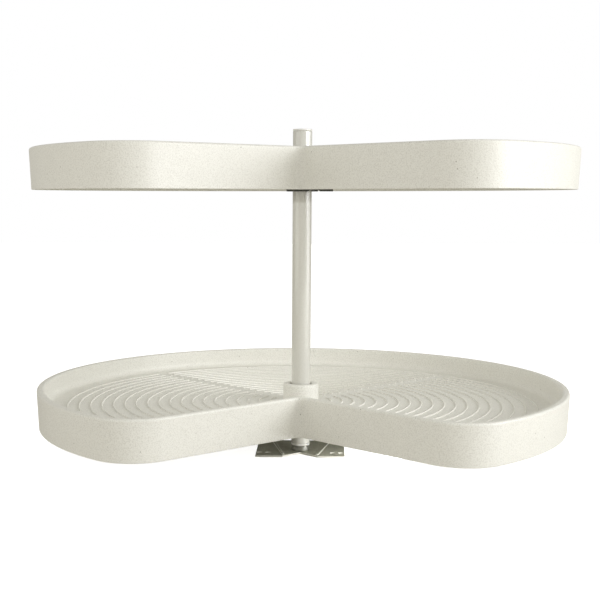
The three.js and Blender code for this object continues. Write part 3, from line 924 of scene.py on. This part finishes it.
def base_bracket():
    """A pressed plate with a V in its front edge, two raised beads and six screw holes."""
    low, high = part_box("base_bracket")
    corners = [
        (low.x, low.y, PLATE_FRONT_ROUND),
        (-PLATE_NOTCH_HALF_WIDTH, low.y, PLATE_FRONT_ROUND),
        (0, PLATE_NOTCH_APEX, PLATE_FRONT_ROUND),
        (PLATE_NOTCH_HALF_WIDTH, low.y, PLATE_FRONT_ROUND),
        (high.x, low.y, PLATE_FRONT_ROUND),
        (high.x, high.y - PLATE_CORNER, PLATE_REAR_ROUND),
        (high.x - PLATE_CORNER, high.y, PLATE_REAR_ROUND),
        (low.x + PLATE_CORNER, high.y, PLATE_REAR_ROUND),
        (low.x, high.y - PLATE_CORNER, PLATE_REAR_ROUND),
    ]
    outline = [tuple(point) for point in rounded(corners, closed=True)]
    top = low.z + PLATE_THICKNESS
    plate = mesh_object("base_bracket_fine", extruded(outline, low.z, top))
    hole = lathe([
        (0, low.z - CUT_OVERLAP, 0), (SCREW_HOLE_RADIUS, low.z - CUT_OVERLAP, 0),
        (SCREW_HOLE_RADIUS, top - COUNTERSINK, 0), (SCREW_HOLE_RADIUS + COUNTERSINK, top, 0),
        (SCREW_HOLE_RADIUS + COUNTERSINK, top + CUT_OVERLAP, 0), (0, top + CUT_OVERLAP, 0),
    ], 40)
    places = SCREW_HOLES + [(-x, y) for x, y in SCREW_HOLES]
    cut(plate, *[moved(hole, Matrix.Translation((x, y, 0))) for x, y in places])
    soften(plate, PLATE_EDGE_ROUND, 3)
    applied(plate)
    bead_height = high.z - low.z - PLATE_THICKNESS
    section = half_round(BEAD_WIDTH, bead_height, depth=0.5 * MM, steps=10)
    beads = []
    for side in (1, -1):
        front = (side * BEAD_FRONT[0], BEAD_FRONT[1], top)
        back = (side * BEAD_BACK[0], BEAD_BACK[1], top)
        beads.append(swept([front, back], section, BEAD_WIDTH / 2))
    raised = mesh_object("base_beads", together(beads))
    stands_for(plate, "base_bracket")
    piece(raised, "base", "plate_steel", MATERIALS["plate_steel"])


def pivot():
    """Cup, pin and thrust washer that the pole turns on."""
    low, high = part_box("pivot_cup")
    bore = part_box("pivot_pin")[1].x + PIN_GAP
    fine("pivot_cup", sleeve(high.x, bore, low.z, high.z, 0.7 * MM))
    low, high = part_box("thrust_washer")
    fine("thrust_washer", sleeve(high.x, bore, low.z, high.z, 0.3 * MM))
    low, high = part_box("pivot_pin")
    fine("pivot_pin", lathe([
        (0, low.z, 0), (high.x, low.z, 0.4 * MM), (high.x, high.z, 2 * MM), (0, high.z, 0),
    ], steps=6))


# ---- Studio --------------------------------------------------------------------------------


def floor():
    """A wide floor under the base. The camera sees it glow white, other rays see a duller, warmer sheet."""
    bpy.ops.mesh.primitive_plane_add(size=FLOOR_SIZE, location=(0, 0, -0.2 * MM))
    ground = bpy.context.object
    ground.name = "floor"
    look = Look("floor_paper", (0.9, 0.9, 0.89), 0.85)
    look.shader.inputs["Emission Color"].default_value = (1, 1, 1, 1)
    look.shader.inputs["Emission Strength"].default_value = FLOOR_GLOW
    look.bump(look.noise(2 * MM, 2), 0.05 * MM, 0.3)
    dull = look.tree.nodes.new("ShaderNodeBsdfDiffuse")
    dull.inputs["Color"].default_value = (*FLOOR_BOUNCE, 1)
    path = look.tree.nodes.new("ShaderNodeLightPath")
    mix = look.tree.nodes.new("ShaderNodeMixShader")
    look.link(path.outputs["Is Camera Ray"], mix.inputs["Fac"])
    look.link(dull.outputs["BSDF"], mix.inputs[1])
    look.link(look.shader.outputs["BSDF"], mix.inputs[2])
    look.link(mix.outputs["Shader"], look.tree.nodes["Material Output"].inputs["Surface"])
    ground.data.materials.append(look.material)


def softbox(name, place, target, size, power, colour):
    """A rectangular light aimed at a point. The camera doesn't see it."""
    light = bpy.data.lights.new(name, "AREA")
    light.shape = "RECTANGLE"
    light.size, light.size_y = size
    light.energy = power
    light.color = colour
    made = bpy.data.objects.new(name, light)
    made.location = place
    made.rotation_euler = (Vector(target) - Vector(place)).to_track_quat("-Z", "Y").to_euler()
    made.visible_camera = False
    bpy.context.scene.collection.objects.link(made)
    return made


def around(azimuth, elevation):
    """A place at the lights' distance from the pole. Azimuth runs in degrees from +X towards -Y."""
    turn, rise = math.radians(-azimuth), math.radians(elevation)
    ahead = Vector((math.cos(turn) * math.cos(rise), math.sin(turn) * math.cos(rise), math.sin(rise)))
    return LIGHT_TARGET + LIGHT_DISTANCE * ahead


def surroundings():
    """A white room: the camera sees it white, and it lights the object about half as strongly."""
    world = bpy.data.worlds.new("white_room")
    bpy.context.scene.world = world
    world.use_nodes = True
    tree = world.node_tree
    tree.nodes.clear()
    output = tree.nodes.new("ShaderNodeOutputWorld")
    seen = tree.nodes.new("ShaderNodeBackground")
    seen.inputs["Color"].default_value = (1, 1, 1, 1)
    fill = tree.nodes.new("ShaderNodeBackground")
    fill.inputs["Color"].default_value = (*ROOM_FILL, 1)
    fill.inputs["Strength"].default_value = ROOM_FILL_STRENGTH
    path = tree.nodes.new("ShaderNodeLightPath")
    mix = tree.nodes.new("ShaderNodeMixShader")
    tree.links.new(path.outputs["Is Camera Ray"], mix.inputs["Fac"])
    tree.links.new(fill.outputs["Background"], mix.inputs[1])
    tree.links.new(seen.outputs["Background"], mix.inputs[2])
    tree.links.new(mix.outputs["Shader"], output.inputs["Surface"])


def camera():
    """The camera, panned and pitched but not rolled."""
    data = bpy.data.cameras.new("camera")
    data.lens = CAMERA_LENS
    data.sensor_width = CAMERA_SENSOR
    data.shift_x, data.shift_y = CAMERA_SHIFT
    ahead = Vector((
        math.sin(CAMERA_PAN) * math.cos(CAMERA_PITCH),
        math.cos(CAMERA_PAN) * math.cos(CAMERA_PITCH),
        -math.sin(CAMERA_PITCH),
    ))
    right = Vector((math.cos(CAMERA_PAN), -math.sin(CAMERA_PAN), 0))
    up = right.cross(ahead)
    made = bpy.data.objects.new("camera", data)
    made.matrix_world = Matrix.Translation(CAMERA_PLACE) @ Matrix((right, up, -ahead)).transposed().to_4x4()
    bpy.context.scene.collection.objects.link(made)
    bpy.context.scene.camera = made


def studio():
    """Floor, room, lights and camera."""
    floor()
    surroundings()
    for name, (azimuth, elevation, size, power, colour) in RING_LIGHTS.items():
        made = softbox(name, around(azimuth, elevation), LIGHT_TARGET, size, power, colour)
        made.visible_diffuse = name not in REFLECTED_ONLY
    for name, (place, target, size, power, colour) in CLOSE_LIGHTS.items():
        softbox(name, place, target, size, power, colour)
    camera()
    bpy.context.scene.view_settings.view_transform = "Standard"


shelf("lower")
shelf("upper")
pole()
base_bracket()
pivot()
studio()
